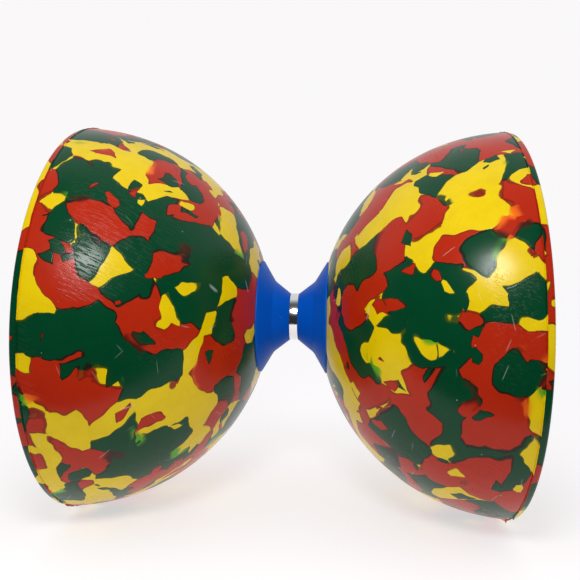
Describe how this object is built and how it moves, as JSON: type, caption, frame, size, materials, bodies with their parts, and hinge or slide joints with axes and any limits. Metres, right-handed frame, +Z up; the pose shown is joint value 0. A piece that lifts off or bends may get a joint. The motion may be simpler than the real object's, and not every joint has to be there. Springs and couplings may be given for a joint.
{
  "type": "fixed-axle diabolo",
  "caption": "Fixed-axle diabolo: two marbled rubber cups bolted back to back on blue hub cones, with a steel collar between them for the string.",
  "frame": {"origin": "middle of the axle collar, on the spin axis", "axes": "+X along the spin axis, +Z up in the pictured view; the object is symmetric about X"},
  "size_m": [0.1164, 0.1057, 0.1056],
  "materials": {
    "marbled_rubber": "satin moulded rubber marbled in green, red and yellow",
    "blue_plastic": "satin injection-moulded plastic",
    "polished_collar": "turned and polished, with fine marks from the string",
    "zinc_steel": "bright zinc plate on steel",
    "nylon": "natural translucent nylon"
  },
  "bodies": {
    "diabolo_body": {"axle_rod": "zinc_steel", "axle_collar": "polished_collar", "left_hub_cone": "blue_plastic", "right_hub_cone": "blue_plastic", "left_rubber_cup": "marbled_rubber", "right_rubber_cup": "marbled_rubber", "left_clamp_plate": "blue_plastic", "right_clamp_plate": "blue_plastic"},
    "left_washer": {"left_flat_washer": "zinc_steel"},
    "left_nut": {"left_lock_nut": "zinc_steel", "left_nut_insert": "nylon"},
    "right_washer": {"right_flat_washer": "zinc_steel"},
    "right_nut": {"right_lock_nut": "zinc_steel", "right_nut_insert": "nylon"}
  },
  "joints": [
    {"name": "left_nut_travel", "type": "slide", "parent": "diabolo_body", "child": "left_washer", "axis": [-1, 0, 0], "range_m": [0, 0.009]},
    {"name": "left_nut_turn", "type": "hinge", "parent": "left_washer", "child": "left_nut", "pos_m": [-0.0243, 0, 0], "axis": [-1, 0, 0], "range_deg": [0, 3270]},
    {"name": "right_nut_travel", "type": "slide", "parent": "diabolo_body", "child": "right_washer", "axis": [1, 0, 0], "range_m": [0, 0.009]},
    {"name": "right_nut_turn", "type": "hinge", "parent": "right_washer", "child": "right_nut", "pos_m": [0.0243, 0, 0], "axis": [1, 0, 0], "range_deg": [0, 3270]}
  ],
  "couplings": [
    {"joint": "left_nut_turn", "follows": "left_nut_travel", "rad_per_m": 6283.2},
    {"joint": "right_nut_turn", "follows": "right_nut_travel", "rad_per_m": 6283.2}
  ]
}
